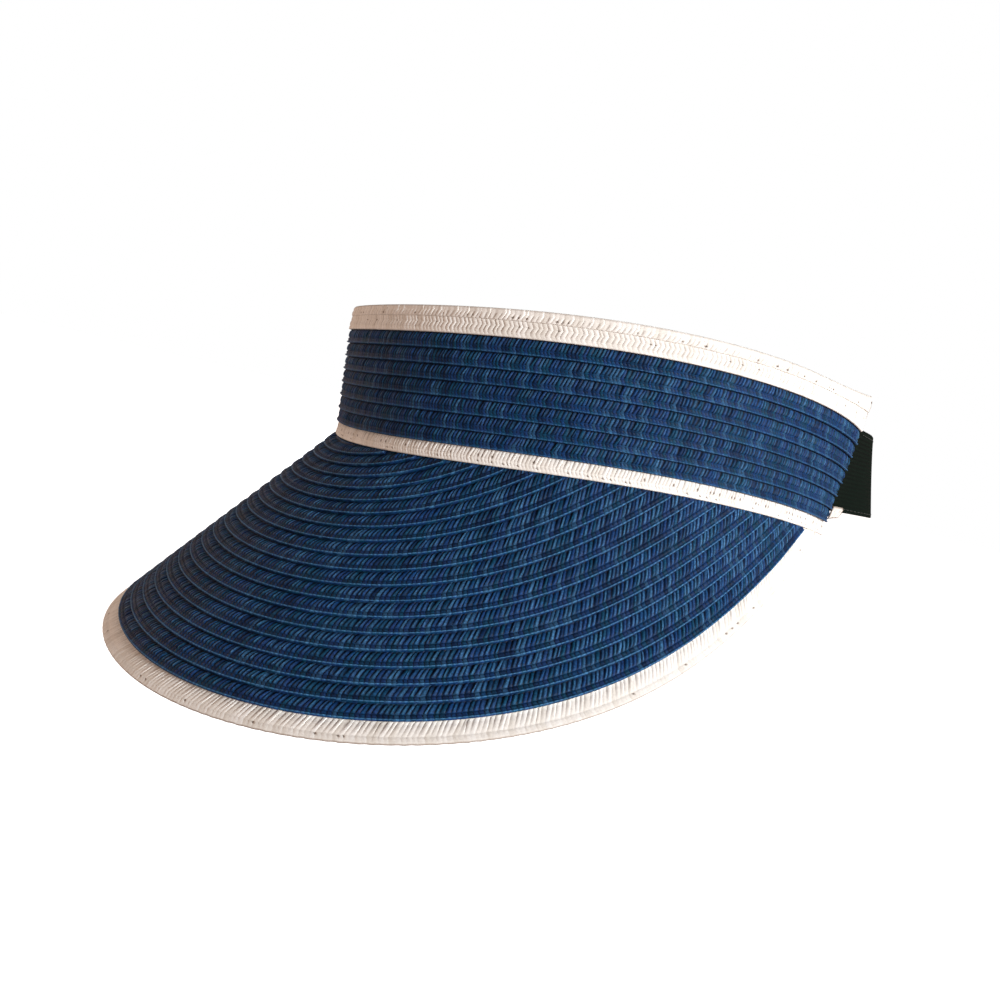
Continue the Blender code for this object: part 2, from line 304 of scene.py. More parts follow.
# the painted shade lines along a braid's edges and ends fade out over these distances
NEAR_LINE = (0.20 * MM, 0.48 * MM)
FAR_LINE = (0.60 * MM, 0.25 * MM)
END_LINE = (0.40 * MM, 1.10 * MM)
# how strong the painted highlight on a strand's crest can be
CREST_HIGHLIGHT = 0.8
HOLE_DEPTH = 0.40 * MM
# painted shade inside a stitch hole, and round its rim
HOLE_SHADE = 2.0
HOLE_RIM_SHADE = 1.5

random = np.random.default_rng(20)


# ---- surfaces ----
def eased(share):
    return share * share * (3 - 2 * share)


def outward(phi):
    """The way out from the head opening, square to its oval."""
    across = np.sin(phi) / HALF_WIDTH
    along = -np.cos(phi) / HALF_LENGTH
    length = np.hypot(across, along)
    return across / length, along / length


def seam_points(phi, out, height):
    """Points pushed out from the band's lower edge and raised above it."""
    nx, ny = outward(phi)
    x = HALF_WIDTH * np.sin(phi) + out * nx
    y = -HALF_LENGTH * np.cos(phi) + out * ny
    z = SIDE_ARCH * np.sin(phi) ** 2 + height
    return np.stack(np.broadcast_arrays(x, y, z), axis=-1)


def band_points(phi, height, out):
    """Points on the flared band, with out measured from its outer face."""
    return seam_points(phi, height * math.tan(BAND_FLARE) + out, height)


def end_rise(phi):
    """How far the band's top edge rises towards its ends."""
    share = (np.abs(phi) - END_RISE_START) / (BAND_END - END_RISE_START)
    return END_RISE * np.maximum(share, 0.0) ** 2


def brim_width(phi):
    share = np.clip(np.abs(phi) / BRIM_END, 0.0, 1.0)
    return BRIM_WIDTH * (1 - share**BRIM_TAPER) ** BRIM_TAPER_SHARPNESS


def brim_points(phi, reach):
    """Points on the brim's face, by angle and distance out from the band."""
    settled = np.clip(phi, -DROOP_SETTLES, DROOP_SETTLES)
    droop = FRONT_DROOP + (SIDE_DROOP - FRONT_DROOP) * np.sin(settled) ** 2
    bend = FRONT_BEND + SIDE_BEND * np.sin(phi) ** 2 + 1e-9  # never quite zero
    out = (np.sin(droop + bend * reach) - np.sin(droop)) / bend
    drop = (np.cos(droop + bend * reach) - np.cos(droop)) / bend
    return seam_points(phi, out, drop)


def brim_face(phi, reach, out):
    """Points held off the brim's face by out, square to it."""
    step = 1e-4
    here = brim_points(phi, reach)
    beside = brim_points(phi + step, reach) - here
    beyond = brim_points(phi, reach + step) - here
    normal = np.cross(beyond, beside)
    normal /= np.linalg.norm(normal, axis=-1, keepdims=True)
    return here + normal * out[..., None]


EDGE_ANGLES = np.linspace(-BRIM_END, BRIM_END, 961)
EDGE_LINE = brim_points(EDGE_ANGLES, brim_width(EDGE_ANGLES))
TABLE_ANGLES = np.linspace(0.0, BRIM_END - 1e-3, 200)
TABLE_DISTANCES = np.linspace(0.0, 0.1, 401)


def reach_table():
    """For each angle, the reach of lines parallel to the brim's edge, and where the band cuts them off."""
    reaches_at = np.empty((len(TABLE_ANGLES), len(TABLE_DISTANCES)))
    seam_at = np.empty(len(TABLE_ANGLES))
    for i, phi in enumerate(TABLE_ANGLES):
        widest = max(float(brim_width(phi)), SEAM_STEP + 1e-5)
        reaches = np.linspace(-BRIM_TUCK, widest, RAY_STEPS)
        points = brim_points(np.full(RAY_STEPS, phi), reaches)
        apart = np.linalg.norm(points[:, None, :] - EDGE_LINE[None, :, :], axis=2).min(axis=1)
        reaches_at[i] = np.interp(TABLE_DISTANCES, apart[::-1], reaches[::-1])
        seam_at[i] = np.interp(SEAM_STEP, reaches, apart)
    return reaches_at, seam_at


REACHES, SEAM_DISTANCES = reach_table()


def reach_at(phi, distance):
    """Reach at this angle and distance from the brim's edge, read between the table's entries."""
    row = np.clip(np.abs(phi) / TABLE_ANGLES[1], 0, len(TABLE_ANGLES) - 1.001)
    column = np.clip(distance / TABLE_DISTANCES[1], 0, len(TABLE_DISTANCES) - 1.001)
    i = row.astype(int)
    j = column.astype(int)
    fi = row - i
    fj = column - j
    near = REACHES[i, j] * (1 - fj) + REACHES[i, j + 1] * fj
    far = REACHES[i + 1, j] * (1 - fj) + REACHES[i + 1, j + 1] * fj
    return near * (1 - fi) + far * fi


def seam_angle(distance):
    """The angle where a line this far from the brim's edge runs into the band."""
    return float(np.interp(distance, SEAM_DISTANCES[::-1], TABLE_ANGLES[::-1]))


# ---- meshes ----
def add_object(name, data):
    node = bpy.data.objects.new(name, data)
    bpy.context.scene.collection.objects.link(node)
    return node


def make_object(name, points, faces, material):
    mesh = bpy.data.meshes.new(name)
    mesh.from_pydata([tuple(p) for p in points], [], faces)
    mesh.shade_smooth()
    mesh.materials.append(material)
    return add_object(name, mesh)


def skin(name, rings, material, marks=None):
    """A closed strip through rings of points, capped at both ends, with marks kept on its points."""
    count, sides = rings.shape[:2]
    mesh = bpy.data.meshes.new(name)
    mesh.vertices.add(count * sides)
    mesh.vertices.foreach_set("co", rings.reshape(-1).astype(np.float32))
    i = np.arange(count - 1)[:, None] * sides
    j = np.arange(sides)[None, :]
    k = (j + 1) % sides
    quads = np.stack([i + j, i + k, i + sides + k, i + sides + j], axis=-1).reshape(-1)
    first = np.arange(sides)[::-1]
    last = np.arange(sides) + (count - 1) * sides
    corners = np.concatenate([quads, first, last]).astype(np.int32)
    quad_count = (count - 1) * sides
    starts = np.concatenate([np.arange(quad_count) * 4, [quad_count * 4, quad_count * 4 + sides]])
    mesh.loops.add(len(corners))
    mesh.loops.foreach_set("vertex_index", corners)
    mesh.polygons.add(quad_count + 2)
    mesh.polygons.foreach_set("loop_start", starts.astype(np.int32))
    mesh.update(calc_edges=True)
    mesh.validate()
    mesh.shade_smooth()
    for label, values in (marks or {}).items():
        layer = mesh.attributes.new(label, "FLOAT", "POINT")
        layer.data.foreach_set("value", np.ascontiguousarray(values, dtype=np.float32).reshape(-1))
    mesh.materials.append(material)
    return add_object(name, mesh)


def tube_faces(base, rings, sides):
    """Faces of a closed tube, whose rings of points are numbered from base."""
    faces = []
    for ring in range(rings - 1):
        for k in range(sides):
            a = base + ring * sides + k
            b = base + ring * sides + (k + 1) % sides
            faces.append((a, b, b + sides, a + sides))
    last = base + (rings - 1) * sides
    faces.append(tuple(base + k for k in reversed(range(sides))))
    faces.append(tuple(last + k for k in range(sides)))
    return faces


def keep(piece, body, slot, *nodes):
    """Put a piece on its body, in place of the CAD nodes named."""
    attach(piece, body)
    if nodes:
        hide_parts(*nodes)
    return piece


def distances(points):
    """How far along a line each of its points is."""
    steps = np.linalg.norm(np.diff(points, axis=0), axis=1)
    return np.concatenate([[0.0], np.cumsum(steps)])


def line_lookup(angles, points):
    """Length of a line, and a function from distance along it, from its middle, to angle."""
    along = distances(points)
    length = float(along[-1])
    return length, lambda s: np.interp(s + length / 2, along, angles)


# ---- plaiting ----
def cross_section(plait, visible, hidden, packing, back):
    """A braid's section: distance across, height of its sheet, crest and shift of its strands."""
    width = visible + hidden
    tucked = [visible + TUCK_INSETS[0], width - TUCK_INSETS[1]] if hidden else []
    across = np.concatenate([plait[:, 0] * visible / plait[-1, 0], tucked, back[:, 0] * width])
    sheet = np.concatenate([plait[:, 1] * MM, [packing] * len(tucked), back[:, 1] * MM])
    crest = np.concatenate([plait[:, 2], [0.0] * len(tucked), -back[:, 2]]) * MM
    shift = np.concatenate([plait[:, 3], [plait[-1, 3]] * len(tucked), back[:, 3]]) * MM
    return across, sheet, crest, shift


def strand_columns(length, strand, section):
    """The number of strands, and each grid column's strand, place in that strand and distance along."""
    strands = max(int(round(length / strand)), 2)
    columns = len(section)
    count = strands * columns + 1
    which = np.minimum(np.arange(count) // columns, strands - 1)
    column = np.arange(count) % columns
    column[-1] = 0
    start = np.concatenate([np.arange(strands) + random.normal(0, SPACING_SPREAD, strands), [strands]])
    start[0] = 0.0
    along = start[which] + (start[np.minimum(which + 1, strands)] - start[which]) * section[column, 0]
    along[-1] = strands
    return strands, which, column, along / strands * length - length / 2


def painted_shade_marks(across, crest, filled, visible, front, shade, cast, faint):
    """Painted shade in the grooves between strands and on the lower legs, and the neighbouring row's painted
    shadow.
    """
    depth = np.clip(np.abs(crest) / DEEP_CREST, 0, 1)[None, :] * (1 - filled)[:, None] * GROOVE_SHADE
    depth = depth * np.interp(across, [FAINT_UNTIL * visible, visible], [faint, 1.0])[None, :]
    # painted shade on the lower legs, and the painted shadow of the row that covers this one
    lower = np.interp(across, LOWER_LEG, [0, shade, shade, 0])
    under = np.interp(across, [CAST_FROM * visible, visible], [0.0, cast])
    under[front:] = 0.0
    return np.maximum(depth, np.maximum(lower, under)[None, :])


def outline_marks(across, s, length, visible, front, outline):
    """A thin line of painted shade round a braid's edges and ends."""
    near, far, ends = outline
    places = [*NEAR_LINE, visible - FAR_LINE[0], visible - FAR_LINE[1]]
    edge_line = np.interp(across, places, [near, 0, 0, far])
    edge_line[front:] = max(near, far)
    end_line = np.interp(length / 2 - np.abs(s), END_LINE, [ends, 0])
    return np.maximum(edge_line[None, :], end_line)


def braid(name, place, length, plait, visible, hidden, material, packing, back=PLAIN_BACK, holes=(),
          ridge=0.0, shade=0.0, cast=0.0, faint=1.0, outline=(0, 0, 0), strand=BRIM_STRAND, lean_by=1.0,
          section=FLAT_STRAND):
    """A plaited strip.  place(along, across, out) turns its own flat coordinates into points.

    packing: how far its tucked part stands up, to meet the back of the row that covers it
    holes: stitch holes, dented and darkened with painted shade, as (every how many strands, distance across
    in millimetres)
    ridge: how strong the painted highlight on its proud edge and on the crests of its strands is
    shade, cast: painted shade on its lower legs, and painted shadow along its far edge beside the row that
    covers it
    faint: how strong the painted shade in its grooves is near its proud edge, against 1 at its far one
    outline: how dark the thin painted shade line is along its proud edge, its far edge and its ends
    lean_by: how far the strands past the crossing lean, as a share of what plait says
    """
    across, sheet, crest, shift = cross_section(plait, visible, hidden, packing, back)
    front = len(plait)
    crossing = int(np.argmin(plait[:, 3]))
    turn = shift[crossing]

    strands, which, column, along = strand_columns(length, strand, section)
    strength = random.uniform(*STRAND_HEIGHTS, strands)[which]
    dented = 1 - DENT * (random.random(strands) < DENTED_SHARE)[which] * (column == CREST_COLUMN)
    profile = section[column, 1] * strength * dented
    lift = random.normal(0, LIFT_SPREAD, strands)[which] * (column > 0)
    raised = np.clip(np.abs(crest) / FULL_CREST, 0, 1)
    out = sheet[None, :] + crest[None, :] * profile[:, None] + lift[:, None] * raised[None, :]

    lean = random.normal(lean_by, LEAN_SPREAD, strands)[which]
    slip = random.normal(0, SLIP_SPREAD, strands)[which]
    rows = np.arange(len(across))
    above = (rows > crossing) & (rows < front)
    reach = np.where(above, (across - across[crossing]) / max(visible - across[crossing], 1e-6), 0.0)
    bent = turn + (shift - turn)[None, :] * np.where(above[None, :], lean[:, None], 1.0)
    s = np.clip(along[:, None] + bent + slip[:, None] * reach[None, :], -length / 2, length / 2)

    # painted shade for the material: grooves, lower legs, the covering row's shadow, then stitch holes and
    # edge lines
    depth = painted_shade_marks(across, crest, section[column, 1], visible, front, shade, cast, faint)
    for every, spot in holes:
        row = int(np.argmin(np.abs(plait[:, 0] - spot)))
        here = (random.random(strands) * every < 1)[which]
        before = np.roll(here, -1) & ~here
        out[here & (column == 0), row] -= HOLE_DEPTH
        # painted shade inside the hole and at its rim
        depth[here & (column == 0), row] = HOLE_SHADE
        depth[(here & (column == 1)) | before, row] = HOLE_RIM_SHADE
    # painted shade lines along the edges and ends
    depth = np.maximum(depth, outline_marks(across, s, length, visible, front, outline))

    tone = np.clip(random.normal(0.5, TONE_SPREAD, strands), 0, 1)[which]
    # painted highlights: on the crests of some strands past the crossing, and along the proud edge
    crest_highlight = (random.random(strands) ** 2)[which] * (column == CREST_COLUMN) * ridge * CREST_HIGHLIGHT
    edge_highlight = np.interp(across, EDGE_HIGHLIGHT, [0.0, 1.0, 0.0]) * ridge
    edge_highlight[front:] = 0.0
    marks = {
        "tone": np.broadcast_to(tone[:, None], s.shape),
        "painted_shade": depth,
        "ridge": np.maximum(edge_highlight[None, :], crest_highlight[:, None] * raised[None, :] * above[None, :]),
    }
    points = place(s, np.broadcast_to(across[None, :], s.shape), out)
    return skin(name, points[:, ::-1], material, {label: mark[:, ::-1] for label, mark in marks.items()})


def band_braid(name, node, bottom, visible, hidden, plait, material, slot, lift=(0, 0), **more):
    """A course round the band.  lift is the part of the band's end rise that its two edges follow."""
    angles = np.linspace(-BAND_END, BAND_END, LINE_STEPS)
    length, angle_at = line_lookup(angles, band_points(angles, bottom, 0.0))
    slope = BAND_SHINGLE / visible
    width = visible + hidden

    def place(s, y, out):
        phi = angle_at(s)
        rise = (lift[0] * (1 - y / width) + lift[1] * y / width) * end_rise(phi)
        turned = np.clip(1 - (length / 2 - np.abs(s)) / END_TURN, 0, 1) ** 2
        # the face turns in at the band's end, and the back stays where it is
        out = out - END_TURN_DEPTH * turned * np.clip(out / BRAID_THICKNESS + 0.9, 0, 1)
        return band_points(phi, bottom + y + rise, out - slope * y)

    piece = braid(name, place, length, plait, visible, hidden, material, BAND_SHINGLE - ROW_BACK, **more)
    return keep(piece, "visor", slot, node)


def brim_braid(name, node, outer, visible, hidden, plait, material, slot, **more):
    """A course of the brim, whose proud edge keeps the distance outer from the brim's edge."""
    end = seam_angle(outer + ROW_TIP)
    angles = np.linspace(-end, end, LINE_STEPS)
    reaches = reach_at(angles, np.full(LINE_STEPS, outer))
    length, angle_at = line_lookup(angles, brim_points(angles, reaches))
    slope = BRIM_SHINGLE / visible

    def place(s, y, out):
        phi = angle_at(s)
        room = np.interp(np.abs(phi), TABLE_ANGLES, SEAM_DISTANCES) - outer
        y = np.minimum(y, room + BRIM_TUCK)
        return brim_face(phi, reach_at(phi, outer + y), out - slope * y)

    piece = braid(name, place, length, plait, visible, hidden, material, BRIM_SHINGLE - ROW_BACK,
                  BACK_PLAIT, **more)
    return keep(piece, "visor", slot, node)


# ---- materials ----
def new_material(name, colour, roughness, specular):
    material = bpy.data.materials.new(name)
    material.use_nodes = True
    nodes = material.node_tree.nodes
    shader = nodes["Principled BSDF"]
    shader.inputs["Base Color"].default_value = (*colour, 1.0)
    shader.inputs["Roughness"].default_value = roughness
    shader.inputs["Specular IOR Level"].default_value = specular
    return material, nodes, material.node_tree.links, shader


def attribute(nodes, name):
    node = nodes.new("ShaderNodeAttribute")
    node.attribute_name = name
    return node.outputs["Fac"]


def math_node(nodes, links, kind, first, second=0.5, clamp=False):
    node = nodes.new("ShaderNodeMath")
    node.operation = kind
    node.use_clamp = clamp
    for socket, value in zip(node.inputs, (first, second)):
        if isinstance(value, (int, float)):
            socket.default_value = value
        else:
            links.new(value, socket)
    return node.outputs[0]


def noise(nodes, links, scale, detail=3.0, rough=0.6):
    """Noise fixed to the piece, with scale in blotches per metre."""
    node = nodes.new("ShaderNodeTexNoise")
    node.inputs["Scale"].default_value = scale
    node.inputs["Detail"].default_value = detail
    node.inputs["Roughness"].default_value = rough
    place = nodes.new("ShaderNodeTexCoord")
    links.new(place.outputs["Object"], node.inputs["Vector"])
    return node.outputs["Fac"]


def ramp(nodes, links, value, stops):
    node = nodes.new("ShaderNodeValToRGB")
    while len(node.color_ramp.elements) < len(stops):
        node.color_ramp.elements.new(0.5)
    for element, (position, colour) in zip(node.color_ramp.elements, stops):
        element.position = position
        element.color = (*colour, 1.0)
    links.new(value, node.inputs["Fac"])
    return node.outputs["Color"]


def mix(nodes, links, kind, amount, first, second):
    node = nodes.new("ShaderNodeMix")
    node.data_type = "RGBA"
    node.blend_type = kind
    for socket, value in ((node.inputs[0], amount), (node.inputs[6], first), (node.inputs[7], second)):
        if isinstance(value, (int, float)):
            socket.default_value = value
        elif isinstance(value, tuple):
            socket.default_value = (*value, 1.0)
        else:
            links.new(value, socket)
    return node.outputs[2]


def bump(nodes, links, shader, height, strength, distance):
    node = nodes.new("ShaderNodeBump")
    node.inputs["Strength"].default_value = strength
    node.inputs["Distance"].default_value = distance
    links.new(height, node.inputs["Height"])
    links.new(node.outputs["Normal"], shader.inputs["Normal"])


def straw(name, stops, groove_shade_colour, ridge_colour, roughness, groove_shade_strength, dull, bright):
    """Dyed paper straw: each strand has its own tone, fibres streak it, painted shade darkens its grooves,
    stitch holes and edges, and a painted highlight lightens its proud edges and crests.
    """
    material, nodes, links, shader = new_material(name, stops[1][1], roughness, 0.14)
    patchy = noise(nodes, links, 90.0, 2.0)
    patchy = math_node(nodes, links, "SUBTRACT", patchy, 0.5)
    tone = math_node(nodes, links, "ADD", attribute(nodes, "tone"), patchy, True)
    colour = ramp(nodes, links, tone, stops)
    # painted highlight on proud edges and crests
    colour = mix(nodes, links, "MIX", attribute(nodes, "ridge"), colour, ridge_colour)
    fibres = noise(nodes, links, 1700.0, 4.0, 0.65)
    streaks = ramp(nodes, links, fibres, [(0.25, dull), (0.55, (1.0, 1.0, 1.0)), (0.8, bright)])
    colour = mix(nodes, links, "MULTIPLY", 1.0, colour, streaks)
    # painted shade: grooves and edge lines mix towards a dark colour
    painted_shade = attribute(nodes, "painted_shade")
    shade = math_node(nodes, links, "MULTIPLY", painted_shade, groove_shade_strength, True)
    colour = mix(nodes, links, "MIX", shade, colour, groove_shade_colour)
    # stitch holes get darker painted shade, towards near-black
    hole_shade = math_node(nodes, links, "SUBTRACT", painted_shade, 1.0, True)
    colour = mix(nodes, links, "MIX", hole_shade, colour, (0.03, 0.02, 0.015))
    links.new(colour, shader.inputs["Base Color"])
    rough = nodes.new("ShaderNodeMapRange")
    links.new(fibres, rough.inputs["Value"])
    rough.inputs["To Min"].default_value = roughness - 0.12
    rough.inputs["To Max"].default_value = roughness + 0.14
    links.new(rough.outputs["Result"], shader.inputs["Roughness"])
    bump(nodes, links, shader, fibres, 0.35, 0.00012)
    return material


def cloth(name, colour, dark, roughness, along, across, sheen, specular):
    """Woven cloth whose ribs follow the piece's own u and v: yarns per metre along and across it."""
    material, nodes, links, shader = new_material(name, colour, roughness, specular)
    shader.inputs["Sheen Weight"].default_value = sheen
    shader.inputs["Sheen Roughness"].default_value = 0.5
    waves = []
    for label, yarns in (("u", along), ("v", across)):
        turns = math_node(nodes, links, "MULTIPLY", attribute(nodes, label), yarns * 2 * math.pi)
        waves.append(math_node(nodes, links, "SINE", turns))
    height = math_node(nodes, links, "MULTIPLY", *waves)
    height = math_node(nodes, links, "MULTIPLY", height, 0.5)
    height = math_node(nodes, links, "ADD", height, 0.5)
    yarn = noise(nodes, links, 1400.0)
    mottled = math_node(nodes, links, "MULTIPLY", height, yarn)
    mottled = math_node(nodes, links, "MULTIPLY", mottled, 2.2, True)
    faded = ramp(nodes, links, noise(nodes, links, 45.0), [(0.3, (0.86, 0.85, 0.84)), (0.6, (1.0, 1.0, 1.0))])
    woven_colour = mix(nodes, links, "MIX", mottled, dark, colour)
    woven_colour = mix(nodes, links, "MULTIPLY", 1.0, woven_colour, faded)
    links.new(woven_colour, shader.inputs["Base Color"])
    bump(nodes, links, shader, mottled, 0.6, 0.0003)
    return material


def speckled(name, colour, roughness, specular, scale, detail, rough, dark, light):
    """A material whose colour wanders between dark and light."""
    material, nodes, links, shader = new_material(name, colour, roughness, specular)
    grain = noise(nodes, links, scale, detail, rough)
    links.new(ramp(nodes, links, grain, [(0.3, dark), (0.7, light)]), shader.inputs["Base Color"])
    return material, nodes, links, shader, grain


def pile(name):
    """The soft loops of a hook-and-loop patch."""
    material, nodes, links, shader, fuzz = speckled(
        name, (0.014, 0.017, 0.016), 0.95, 0.15, 1800.0, 4.0, 0.7,
        (0.002, 0.003, 0.003), (0.014, 0.018, 0.016))
    shader.inputs["Sheen Weight"].default_value = 0.12
    bump(nodes, links, shader, fuzz, 0.8, 0.0004)
    return material


def moulded(name):
    """The plastic of the hooks and their plate."""
    return speckled(name, (0.012, 0.014, 0.014), 0.45, 0.5, 1200.0, 2.0, 0.6,
                    (0.008, 0.009, 0.009), (0.022, 0.024, 0.024))[0]


def thread(name, colour, dark):
    """Twisted sewing thread."""
    material, nodes, links, shader, twist = speckled(name, colour, 0.7, 0.3, 4000.0, 2.0, 0.6, dark, colour)
    bump(nodes, links, shader, twist, 0.5, 0.0001)
    return material


# the dark colours for grooves below are painted shade, and the light colours for edges are painted highlights
navy_straw = straw(
    "navy_straw",
    stops=[(0.10, (0.002, 0.024, 0.086)), (0.34, (0.003, 0.060, 0.125)), (0.52, (0.004, 0.048, 0.168)),
           (0.74, (0.011, 0.044, 0.155)), (0.92, (0.026, 0.105, 0.225))],
    groove_shade_colour=(0.0002, 0.002, 0.009), ridge_colour=(0.080, 0.250, 0.480), roughness=0.55,
    groove_shade_strength=0.97, dull=(0.36, 0.36, 0.36), bright=(1.9, 1.9, 1.9))
pale_straw = straw(
    "pale_straw",
    stops=[(0.10, (0.77, 0.74, 0.67)), (0.40, (0.83, 0.81, 0.75)), (0.62, (0.86, 0.84, 0.78)),
           (0.90, (0.88, 0.87, 0.82))],
    groove_shade_colour=(0.33, 0.27, 0.22), ridge_colour=(0.88, 0.85, 0.79), roughness=0.65,
    groove_shade_strength=0.75, dull=(0.84, 0.84, 0.84), bright=(1.05, 1.05, 1.05))
cotton = cloth("cotton", (0.82, 0.80, 0.75), (0.50, 0.47, 0.42), 0.9, along=900, across=900, sheen=0.2,
               specular=0.2)
tape = cloth("black_tape", (0.002, 0.008, 0.0045), (0.0005, 0.0018, 0.001), 0.9, along=1100, across=700,
             sheen=0.0, specular=0.10)
black_pile = pile("black_pile")
hook_plastic = moulded("hook_plastic")
black_thread = thread("black_thread", (0.05, 0.055, 0.05), (0.012, 0.013, 0.012))
pale_thread = thread("pale_thread", (0.85, 0.83, 0.77), (0.6, 0.56, 0.5))


# ---- braids ----
# these calls set each braid's painted highlight, painted shade, painted shadow and painted edge lines
band_braid("bottom_trim_plait", "bottom_trim_braid", 0.0, BOTTOM_TRIM, TUCK * BAND_PITCH,
           LOWER_TRIM_PLAIT, pale_straw, "pale_braid", holes=[(5, 2.8), (7, 1.05)], faint=0.7,
           outline=(0, 0, 1.3), strand=BAND_STRAND)
for i in range(BAND_ROWS):
    band_braid(f"band_plait_{i + 1:02d}", f"band_row_{i + 1:02d}", BOTTOM_TRIM + i * BAND_PITCH,
               BAND_PITCH, TUCK * BAND_PITCH, NAVY_PLAIT, navy_straw, "navy_braid", ridge=0.40, shade=0.30,
               cast=0.8, strand=BAND_STRAND, lean_by=BAND_LEAN, section=ROUND_STRAND)
band_braid("top_trim_plait", "top_trim_braid", BAND_HEIGHT - TOP_EDGE - TOP_TRIM, TOP_TRIM, TUCK * TOP_EDGE,
           UPPER_TRIM_PLAIT, pale_straw, "pale_braid", (0.0, 0.5), holes=[(6, 3.2)], outline=(0, 0, 1.3))
band_braid("top_edge_plait", "top_edge_braid", BAND_HEIGHT - TOP_EDGE, TOP_EDGE, 0.0, RIM_PLAIT, pale_straw,
           "pale_braid", (0.5, 1.0), holes=[(7, 0.8)], faint=0.8, outline=(0, 0.6, 1.3))
brim_braid("brim_edge_plait", "brim_edge_braid", 0.0, EDGE_TRIM, TUCK * BRIM_PITCH, EDGE_PLAIT, pale_straw,
           "pale_braid", holes=[(16, 1.75)], lean_by=0.45, faint=0.5, outline=(1.1, 0, 1.1))
for i in range(BRIM_ROWS):
    brim_braid(f"brim_plait_{i + 1:02d}", f"brim_row_{i + 1:02d}", EDGE_TRIM + i * BRIM_PITCH,
               BRIM_PITCH, TUCK * BRIM_PITCH, NAVY_PLAIT, navy_straw, "navy_braid", ridge=0.90, shade=0.45,
               cast=0.8, lean_by=BRIM_LEAN, section=ROUND_STRAND)


def strap_points(side, phi, height, rise, offset):
    """Points held off the middle of a strap by offset, at an absolute height."""
    def line(angle):
        bulge = eased(np.clip((angle - STRAP_START) / BULGE_SPAN, 0, 1))
        flared = (height - BAND_END_LOW) * math.tan(BAND_FLARE)
        splay = STRAP_SPLAY * (1 - 2 * (height - STRAP_LOW) / STRAP_WIDTH)
        out = flared * (1 - bulge) + (rise + splay) * bulge - STRAP_ROOT_DEPTH
        return seam_points(side * angle, out, 0.0)

    here = line(phi)
    ahead = line(phi + 1e-4)
    tangent = (ahead - here)[..., :2]
    tangent = tangent / np.linalg.norm(tangent, axis=-1, keepdims=True)
    x = here[..., 0] + tangent[..., 1] * side * offset
    y = here[..., 1] - tangent[..., 0] * side * offset
    return np.stack([x, y, np.broadcast_to(height, x.shape)], axis=-1)


def add_tail(name, place, length, width, line):
    """A pale braid's turned end; line is how dark the painted shade round its edges is."""
    piece = braid(name.replace("tail", "end"), place, length, TAIL_PLAIT, width, 0.0, pale_straw, 0.0,
                  outline=(line, line, line))
    keep(piece, "visor", "pale_braid", name)


def cover_tail(name, side, rise):
    """A pale braid's end, turned over the outside of a strap's sewn end."""
    finish = BAND_END + COVER_TAIL_LENGTH * PER_METRE_AT_END
    cover_length = COVER_TAIL_LENGTH - GAP
    low, high = COVER_TAIL
    outer = STRAP_THICKNESS / 2 + GAP + BRAID_THICKNESS

    def place(s, y, out):
        share = s / cover_length + 0.5
        raised = COVER_TAIL_TAPER * share * (1 - y / (high - low))
        height = BAND_END_LOW + low + y + raised
        return strap_points(side, TAIL_START + (finish - TAIL_START) * share, height, rise, outer + out)

    add_tail(name, place, cover_length, high - low, 1.3)


def hidden_tail(name, side, tail_length, low, high):
    """A pale braid's end, turned in behind the band's end."""
    middle = TAIL_START + tail_length / 2 * PER_METRE_AT_END

    def place(s, y, out):
        return band_points(side * (middle + s * PER_METRE_AT_END), low + y, out - TAIL_DEPTH)

    add_tail(name, place, tail_length, high - low, 1.1)


cover_tail("lower_tail_left", 1, STRAP_BULGE)
hidden_tail("lower_tail_right", -1, LOWER_TAIL_LENGTH, *LOWER_TAIL)
for side, label in ((1, "left"), (-1, "right")):
    hidden_tail("upper_tail_" + label, side, UPPER_TAIL_LENGTH, STRAP_BOTTOM + STRAP_WIDTH + TAIL_CLEAR,
                BAND_HEIGHT + END_RISE - SWEAT_TOP_INSET)


# ---- cloth ----
def stitches(name, runs, radius, material):
    """Short raised stitches in one mesh; runs lists (first end, second end, way out of the cloth)."""
    points = []
    faces = []
    for first, last, out in runs:
        run = (last - first) / np.linalg.norm(last - first)
        side = np.cross(run, out)
        faces += tube_faces(len(points), len(STITCH_SHAPE), STITCH_SIDES)
        for share, lift in STITCH_SHAPE:
            centre = first + (last - first) * share + out * radius * lift
            for k in range(STITCH_SIDES):
                a = math.pi * k / 3
                points.append(centre + radius * (side * math.cos(a) + out * math.sin(a) * 0.8))
    return make_object(name, points, faces, material)


def one_point(place, u, v, depth):
    return place(np.array([[u]]), np.array([[v]]), np.array([[depth]]))[0, 0]


def row_of_stitches(place, u_from, u_to, v, face, length, pitch, out_step):
    """Stitches along a line of constant v on a placed cloth; out_step is a short step out of its face."""
    runs = []
    for k in range(int((u_to - u_from) / pitch)):
        a = u_from + k * pitch
        ends = place(np.array([[a, a + length]]), np.array([[v, v]]), np.array([[face, face]]))[0]
        out = one_point(place, a, v, face + out_step) - ends[0]
        runs.append((ends[0], ends[1], out / np.linalg.norm(out)))
    return runs


# ---- sweatband: u runs round the band, v up it, and depth in from its face ----
SWEAT_TOP = BAND_HEIGHT - SWEAT_TOP_INSET
SWEAT_INSIDE = SWEAT_DEPTH + SWEAT_THICKNESS
band_angles = np.linspace(-BAND_END, BAND_END, LINE_STEPS)
band_length, band_angle = line_lookup(band_angles, band_points(band_angles, 0.02, -SWEAT_DEPTH))


def sweat_place(u, v, depth):
    waves = np.sin(u * 420 + v * 60) * np.sin(u * 97 + 1.3) + 0.5 * np.sin(u * 160 - v * 140)
    inner = depth > SWEAT_DEPTH + 0.1 * MM
    return band_points(band_angle(u), v, -(depth + RIPPLE * waves * inner))


